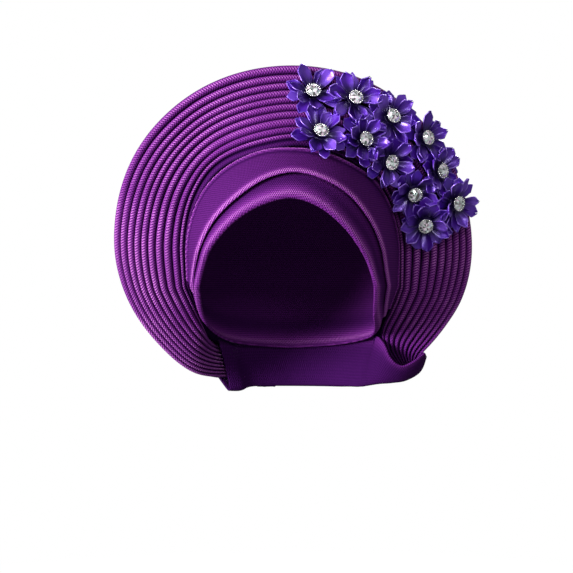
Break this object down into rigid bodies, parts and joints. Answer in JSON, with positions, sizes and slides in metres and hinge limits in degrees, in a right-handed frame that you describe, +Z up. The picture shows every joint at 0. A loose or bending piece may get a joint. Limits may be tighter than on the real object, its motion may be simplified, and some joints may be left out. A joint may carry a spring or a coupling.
{
  "type": "tied head tie",
  "caption": "Ready-tied pleated cloth head wrap with a fitted cap, a folded brow band, a round fan of pleats, a wrapped nape and satin flowers with cut stones, worn on the head.",
  "frame": {"origin": "the head seat: the middle of the head hollow, at the height of the wearer's eyes, midway between the ears", "axes": "+Z up the wearer's head, -Y the way the wearer faces, +X to the right as seen from in front"},
  "size_m": [0.2814, 0.1899, 0.2507],
  "materials": {
    "woven_cloth": "ribbed weave with a faint metallic thread",
    "satin_ribbon": "glossy satin",
    "cut_stone": "faceted clear stone in a bright metal cup"
  },
  "bodies": {
    "root": {"cap": "woven_cloth", "front_band": "woven_cloth", "pleated_fan": "woven_cloth", "nape_wrap": "woven_cloth", "flower_01": "satin_ribbon", "flower_02": "satin_ribbon", "flower_03": "satin_ribbon", "flower_04": "satin_ribbon", "flower_05": "satin_ribbon", "flower_06": "satin_ribbon", "flower_07": "satin_ribbon", "flower_08": "satin_ribbon", "flower_09": "satin_ribbon", "flower_10": "satin_ribbon", "flower_11": "satin_ribbon", "stone_01": "cut_stone", "stone_02": "cut_stone", "stone_03": "cut_stone", "stone_04": "cut_stone", "stone_05": "cut_stone", "stone_06": "cut_stone", "stone_07": "cut_stone", "stone_08": "cut_stone", "stone_09": "cut_stone", "stone_10": "cut_stone", "stone_11": "cut_stone"}
  },
  "joints": []
}
